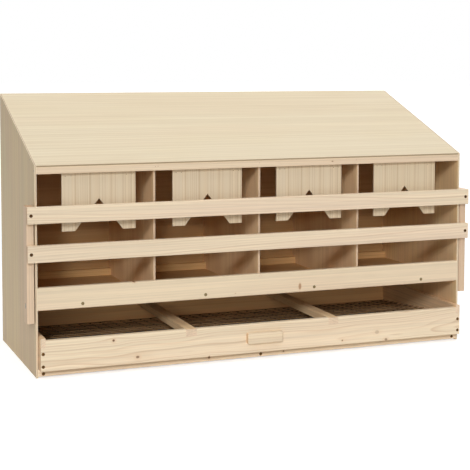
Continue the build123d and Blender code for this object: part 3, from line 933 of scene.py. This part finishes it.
@dataclass
class EggDrawer:
    """The drawer: its boards, bars and the welded wire floor that slopes to the back."""

    wire: float = 0.0020
    sunk: float = 0.0004
    pitch: float = 0.0254
    sides: int = 8
    ripple: float = 0.0003
    ripple_rate: float = 60.0
    ripple_phase: float = 1.7
    step: float = 0.012
    fall: float = 0.033
    knots: tuple[Knot, ...] = (
        Knot(-0.348, 0.072, 0.0029, 0.95, 1.0),
        Knot(-0.2946, 0.0316, 0.0031, 0.8, 1.35),
        Knot(-0.1306, 0.0185, 0.0016, 0.8, 1.2),
        Knot(0.195, 0.0276, 0.0018, 0.9, 1.0),
        Knot(0.3083, 0.0207, 0.0032, 0.65, 1.3),
        Knot(0.2845, 0.040, 0.005, 0.28, 1.2),
    )

    def dress(self, nodes: Nodes) -> None:
        """Finishes the drawer's boards.

        Args:
            nodes: the frame's objects by name.
        """
        front = {
            "knots": self.knots,
            "pale": (0.848, 0.713, 0.515),
            "blush": (0.838, 0.684, 0.496),
            "dark": (0.66, 0.46, 0.285),
            "contrast": 0.78,
            "ring": 0.0034,
            "taper": 0.014,
            "sway": 0.034,
            "wander": 2.2,
        }
        # The sides are tinted warmer as painted warm shade, and the end tint undoes that tint on
        # their ends.
        side = {
            "pale": (0.78, 0.62, 0.44),
            "tint": (1.12, 1.01, 0.86),
            "end_tint": (0.91, 0.995, 1.18),
        }
        # The bars are tinted lighter and warmer: painted light for bounce light on their shaded
        # rear parts; the end tint keeps the ends' colour.
        bar = {
            "pale": (0.79, 0.63, 0.45),
            "tint": (1.15, 1.06, 0.88),
            "end_tint": (0.84, 0.887, 1.066),
        }
        handle = {"contrast": 0.45}
        # The back board and the mesh rests are tinted warmer and less blue: painted warm shade.
        painted_shade_tint = {"tint": (1.05, 0.83, 0.60)}
        timbers = [
            Timber("drawer_front", Grain.ALONG_X, (0.0, 0.034, -0.010), front),
            Timber("drawer_back", Grain.ALONG_X, (0.0, -0.05, 0.01), painted_shade_tint),
            Timber("drawer_handle", Grain.ALONG_X, (0.0, 0.042, -0.05), handle),
            Timber("drawer_side_left", Grain.ALONG_Y, (0.03, 0.0, -0.02), side),
            Timber("drawer_side_right", Grain.ALONG_Y, (-0.03, 0.0, -0.025), side),
            Timber("drawer_bar_left", Grain.ALONG_Y, (0.012, 0.0, -0.04), bar),
            Timber("drawer_bar_right", Grain.ALONG_Y, (-0.016, 0.0, -0.035), bar),
            Timber("mesh_rest_left", Grain.ALONG_Y, (0.02, 0.0, 0.02), painted_shade_tint),
            Timber("mesh_rest_right", Grain.ALONG_Y, (-0.02, 0.0, 0.02), painted_shade_tint),
            Timber("mesh_rest_front", Grain.ALONG_X, (0.0, 0.02, 0.02), painted_shade_tint),
            Timber("mesh_rest_rear", Grain.ALONG_X, (0.0, -0.02, 0.02), painted_shade_tint),
        ]
        for piece in timbers:
            piece.dress(nodes)

    def wires(
        self, starts: np.ndarray, ends: np.ndarray, up: np.ndarray, offset: int = 0
    ) -> tuple[np.ndarray, list[list[int]]]:
        """Straight round wires as one grid: a circle carried along each run, with a slight ripple.

        A point is start + s (end - start) + r (cos t side + sin t up), moved sideways by a small
        sine of s.

        Args:
            starts: first ends of the wires, one row each.
            ends: last ends of the wires, one row each.
            up: the unit vector square to the net.
            offset: the number that the first point gets.

        Returns:
            The points and the faces, with flat ends.
        """
        run = ends - starts
        length = float(np.linalg.norm(run[0]))
        side = np.cross(run[0] / length, up)
        count, rings = len(starts), max(2, int(length / self.step))
        s = np.linspace(0.0, 1.0, rings)
        turn = np.arange(self.sides) * (2 * np.pi / self.sides)
        circle = np.cos(turn)[:, None] * side + np.sin(turn)[:, None] * up
        phase = np.arange(count) * self.ripple_phase
        sway = self.ripple * np.sin(s[None, :] * length * self.ripple_rate + phase[:, None])
        spine = starts[:, None, :] + s[None, :, None] * run[:, None, :] + sway[..., None] * side
        points = spine[:, :, None, :] + self.wire / 2 * circle[None, None]
        shape = (count, rings, self.sides)
        index = offset + np.arange(math.prod(shape)).reshape(shape)
        after = np.roll(index, -1, axis=2)
        corners = [index[:, :-1], after[:, :-1], after[:, 1:], index[:, 1:]]
        quads = np.stack(corners, axis=-1).reshape(-1, 4)
        caps = np.concatenate([index[:, 0, ::-1], index[:, -1]])
        return points.reshape(-1, 3), quads.tolist() + caps.tolist()

    def wire_floor(self) -> bpy.types.Object:
        """The welded net: wires down the slope, and wires across lying on them, slightly sunk in.

        Returns:
            The net as one piece, which stands for the flat holed sheet.
        """
        low, high = (np.array(corner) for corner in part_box("drawer_wire_mesh"))
        angle = math.atan2(self.fall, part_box("drawer_back")[0].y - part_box("drawer_front")[1].y)
        down = np.array([0.0, math.cos(angle), -math.sin(angle)])
        up = np.array([0.0, math.sin(angle), math.cos(angle)])
        sheet = self.wire * up
        front = np.array([0.0, low[1], high[2] - sheet[2]])
        deep = (high[1] - low[1] - sheet[1]) / down[1]
        wide = high[0] - low[0]
        side_gap, end_gap = self.pitch / 3, self.pitch / 4
        across = np.linspace(low[0] + side_gap, high[0] - side_gap, round(wide / self.pitch))
        along = np.linspace(end_gap, deep - end_gap, round(deep / self.pitch))
        radius = self.wire / 2
        left = front + radius * up + across[:, None] * np.array(X_WAY)
        first, first_faces = self.wires(left, left + deep * down, up)
        edge = front + (radius + self.wire - self.sunk) * up + along[:, None] * down
        ends = np.array([[low[0], 0.0, 0.0], [high[0], 0.0, 0.0]])
        second, second_faces = self.wires(edge + ends[0], edge + ends[1], up, len(first))
        points = np.concatenate([first, second])
        net = new_piece("drawer_wire_floor", points, first_faces + second_faces, True)
        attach(net, "drawer")
        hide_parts("drawer_wire_mesh")
        return net


@dataclass
class Fixings:
    """Hinges, screws, nails, washers, stop bolts and the wire of the drawer's floor."""

    bright: tuple[str, ...] = ("hinge_leaves_fixed", *(f"flap_{n}_leaves" for n in FLAPS))
    grey: tuple[str, ...] = (
        "perch_pivot_washers",
        "perch_pivot_screws",
        "perch_stop_bolts",
        "panel_nails",
    )
    bronze: tuple[str, ...] = (
        "hinge_screws_fixed",
        *(f"flap_{n}_screws" for n in FLAPS),
        "base_rail_screws",
        "drawer_screws",
    )
    olive: tuple[str, ...] = ("front_board_screws",)
    brown: tuple[str, ...] = ("perch_screws",)

    ZINC: ClassVar[MetalFinish] = MetalFinish(
        "zinc_plate", (0.62, 0.62, 0.60), (0.48, 0.48, 0.46), metal=0.9, rough=(0.3, 0.5)
    )
    NAIL: ClassVar[MetalFinish] = MetalFinish(
        "nail_grey", (0.50, 0.43, 0.33), (0.38, 0.32, 0.24), metal=0.5, rough=(0.5, 0.65)
    )
    BRONZE: ClassVar[MetalFinish] = MetalFinish(
        "bronze_plate",
        (0.22, 0.115, 0.04),
        (0.125, 0.06, 0.02),
        metal=0.2,
        rough=(0.5, 0.65),
        gloss=0.05,
    )
    OLIVE: ClassVar[MetalFinish] = MetalFinish(
        "olive_plate",
        (0.29, 0.22, 0.105),
        (0.19, 0.14, 0.062),
        metal=0.3,
        rough=(0.5, 0.65),
        gloss=0.3,
    )
    BROWN: ClassVar[MetalFinish] = MetalFinish(
        "brown_plate",
        (0.11, 0.052, 0.02),
        (0.064, 0.03, 0.011),
        metal=0.1,
        rough=(0.55, 0.7),
        gloss=0.05,
    )
    COATED_WIRE: ClassVar[MetalFinish] = MetalFinish(
        "coated_wire",
        (0.45, 0.28, 0.145),
        (0.165, 0.10, 0.05),
        metal=0.1,
        rough=(0.55, 0.75),
        cloud=(7.0, 90.0, 90.0),
        gloss=0.2,
    )

    def dress(self, nodes: Nodes) -> None:
        """Finishes the ironmongery in five platings.

        Args:
            nodes: the frame's objects by name.
        """
        platings = (
            (self.bright, self.ZINC),
            (self.grey, self.NAIL),
            (self.bronze, self.BRONZE),
            (self.olive, self.OLIVE),
            (self.brown, self.BROWN),
        )
        for names, finish in platings:
            material = finish.build()
            for name in names:
                paint(name, material, nodes)

    def coat(self, net: bpy.types.Object) -> None:
        """Gives the welded net its dull dark coat."""
        net.data.materials.append(self.COATED_WIRE.build())


def hung(az: float, el: float, away: float) -> Vector:
    """A spot round the middle of the box.

    Args:
        az: degrees from the front, to the right.
        el: degrees above the horizon.
        away: the distance in metres.

    Returns:
        The spot.
    """
    turn, rise = math.radians(az), math.radians(el)
    flat = math.cos(rise)
    way = Vector((math.sin(turn) * flat, -math.cos(turn) * flat, math.sin(rise)))
    return Vector(AIM) + away * way


@dataclass(frozen=True)
class Lamp:
    """One soft lamp that faces the middle of the box; its size is its width and height."""

    name: str
    spot: Vector
    watts: float
    size: Span
    tone: Colour = WHITE

    def hang(self) -> None:
        """Adds the lamp to the scene."""
        data = bpy.data.lights.new(self.name, "AREA")
        data.energy = self.watts
        data.color = self.tone
        data.shape = "RECTANGLE"
        data.size, data.size_y = self.size
        lamp = bpy.data.objects.new(self.name, data)
        lamp.location = self.spot
        lamp.rotation_mode = "QUATERNION"
        lamp.rotation_quaternion = (Vector(AIM) - self.spot).to_track_quat("-Z", "Y")
        bpy.context.scene.collection.objects.link(lamp)


@dataclass
class Studio:
    """The pale floor, the soft lamps, the white surround and the camera."""

    camera_at: Point = (-1.04346, -2.69527, 0.67286)
    heading: float = 21.2564
    dip: float = 4.2546
    roll: float = 0.1162
    focal_pixels: float = 1226.51
    centre_row: float = 150.0
    far_clip: float = 200.0
    floor_half: float = 30.0
    floor_tone: float = 0.86
    floor_far: float = 0.4
    floor_lift: float = 0.5
    floor_fade: Span = (1.0, 3.0)
    footprint: Span = (0.505, 0.172)
    footprint_at: Point = (0.0, 0.0265, 0.0)
    footprint_edge: Span = (0.96, 1.0)
    # Painted shadow: the factor on the floor's tone right under the box.
    painted_shadow_tone: float = 0.3
    surround: float = 0.03
    lamps: tuple[Lamp, ...] = (
        Lamp("key", hung(-26.5, 25.2, 25.0), 3270.0, (5.5, 5.5), (0.98, 1.0, 1.03)),
        Lamp("front_fill", hung(-20.0, 10.2, 25.0), 770.0, (14.0, 1.1), (1.0, 0.85, 0.68)),
        Lamp("upper_front", hung(-15.0, 55.0, 25.0), 600.0, (12.0, 12.0)),
        Lamp("rear", hung(140.0, 14.0, 25.0), 2300.0, (9.0, 9.0)),
        Lamp("overhead", Vector((0.0, -0.4, 3.2)), 46.0, (3.0, 3.0)),
    )

    def camera(self) -> None:
        """Sets the camera where the photograph was taken from; a shift keeps uprights upright."""
        data = bpy.data.cameras.new("camera")
        data.sensor_width = SENSOR_MM
        data.lens = self.focal_pixels / PHOTO_PIXELS * SENSOR_MM
        data.shift_y = (self.centre_row - PHOTO_PIXELS / 2) / PHOTO_PIXELS
        data.clip_end = self.far_clip
        turn = Matrix.Rotation(math.radians(-self.heading), 4, "Z")
        tilt = Matrix.Rotation(math.radians(90.0 - self.dip), 4, "X")
        lean = Matrix.Rotation(math.radians(self.roll), 4, "Z")
        camera = bpy.data.objects.new("camera", data)
        camera.matrix_world = Matrix.Translation(self.camera_at) @ turn @ tilt @ lean
        bpy.context.scene.collection.objects.link(camera)
        bpy.context.scene.camera = camera

    @staticmethod
    def seen(tree: bpy.types.NodeTree) -> Socket:
        """1 for what the camera sees straight, in a gloss or through glass, and 0 for other light.

        Args:
            tree: the node tree that needs it.

        Returns:
            The socket that gives it.
        """
        rays = tree.nodes.new("ShaderNodeLightPath")
        total = rays.outputs["Is Camera Ray"]
        for name in ("Is Glossy Ray", "Is Transmission Ray"):
            either = tree.nodes.new("ShaderNodeMath")
            either.operation = "MAXIMUM"
            tree.links.new(total, either.inputs[0])
            tree.links.new(rays.outputs[name], either.inputs[1])
            total = either.outputs[0]
        return total

    def world(self) -> None:
        """A white surround that lights the object only softly."""
        world = bpy.data.worlds.new("surround")
        world.use_nodes = True
        bpy.context.scene.world = world
        tree = world.node_tree
        level = tree.nodes.new("ShaderNodeMapRange")
        tree.links.new(self.seen(tree), level.inputs["Value"])
        level.inputs["To Min"].default_value = self.surround
        level.inputs["To Max"].default_value = 1.0
        background = tree.nodes["Background"]
        background.inputs["Color"].default_value = (*WHITE, 1.0)
        tree.links.new(level.outputs[0], background.inputs["Strength"])

    def floor(self) -> None:
        """A pale floor that reads white and takes the box's shadow, with painted shadow that
        darkens it right under the box.
        """
        half = self.floor_half
        corners = [[-half, -half, 0.0], [half, -half, 0.0], [half, half, 0.0], [-half, half, 0.0]]
        ground = new_piece("ground", np.array(corners), [[0, 1, 2, 3]], False)
        graph = Graph("pale_floor")
        away = graph.vector("LENGTH", graph.place)
        fade = graph.span(away, *self.floor_fade, self.floor_lift, 1.0)
        tone = graph.span(away, *self.floor_fade, self.floor_tone, self.floor_far)
        reach = (1.0 / self.footprint[0], 1.0 / self.footprint[1], 0.0)
        from_middle = graph.vector("SUBTRACT", graph.place, self.footprint_at)
        flat = graph.vector("ABSOLUTE", graph.vector("MULTIPLY", from_middle, reach))
        sides = [graph.vector("DOT_PRODUCT", flat, way) for way in (X_WAY, Y_WAY)]
        outside = graph.span(graph.math("MAXIMUM", *sides), *self.footprint_edge)
        glow = graph.math("MULTIPLY", fade, outside)
        lift = graph.math("MULTIPLY", glow, self.seen(graph.tree))
        # Painted shadow: the floor's colour is darkened under the box's footprint.
        under = graph.span(outside, 0.0, 1.0, self.painted_shadow_tone, 1.0)
        graph.surface(
            Base_Color=graph.shade(WHITE, graph.math("MULTIPLY", tone, under)),
            Roughness=1.0,
            Specular_IOR_Level=0.0,
            Emission_Color=WHITE,
            Emission_Strength=lift,
        )
        ground.data.materials.append(graph.material)

    def build(self) -> None:
        """Sets up the whole studio."""
        bpy.context.scene.view_settings.view_transform = "Standard"
        self.world()
        self.floor()
        for lamp in self.lamps:
            lamp.hang()
        self.camera()


def main() -> None:
    """Loads the box, dresses each sub-assembly in order and lights it."""
    logging.basicConfig(level=logging.INFO, format="%(message)s")
    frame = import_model()
    nodes = frame["nodes"]
    drawer, fixings = EggDrawer(), Fixings()
    for assembly in (Carcass(), FlapRow(), PerchFrame(), drawer, fixings):
        assembly.dress(nodes)
    fixings.coat(drawer.wire_floor())
    Studio().build()


if __name__ == "__main__":
    main()
